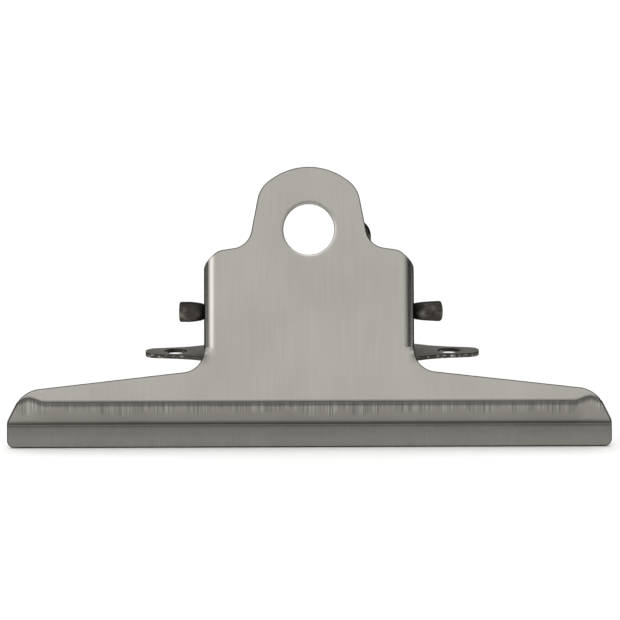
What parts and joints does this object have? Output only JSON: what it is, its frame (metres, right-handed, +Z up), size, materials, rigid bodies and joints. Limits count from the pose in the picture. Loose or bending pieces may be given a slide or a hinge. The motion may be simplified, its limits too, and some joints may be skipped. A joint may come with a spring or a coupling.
{
  "type": "bulldog clip",
  "caption": "Wide sheet-steel lever clip for a writing board: stepped jaw, tongue with a hanging hole, riveted bracket, axle and double torsion spring.",
  "frame": {"origin": "midway between the two rivet holes, on the bracket's mounting face", "axes": "+X along the jaw, +Y from the jaw's side to the back, +Z up from the board"},
  "size_m": [0.15, 0.0243, 0.0677],
  "materials": {
    "lever_steel": "brushed stainless sheet, grain running up the face",
    "bracket_steel": "mill-finish stainless sheet with sheared edges",
    "axle_steel": "dark drawn wire, ends squeezed flat",
    "spring_steel": "oiled dark spring wire"
  },
  "bodies": {
    "bracket_body": {"bracket": "bracket_steel", "axle_pin": "axle_steel", "torsion_spring": "spring_steel"},
    "lever_body": {"lever_plate": "lever_steel"}
  },
  "joints": [
    {"name": "lever", "type": "hinge", "parent": "bracket_body", "child": "lever_body", "pos_m": [0, 0, 0.011], "axis": [-1, 0, 0], "range_deg": [0, 100], "stiffness_Nm_per_rad": 0.2, "springref_deg": -68.75, "deforming": ["torsion_spring"]}
  ]
}
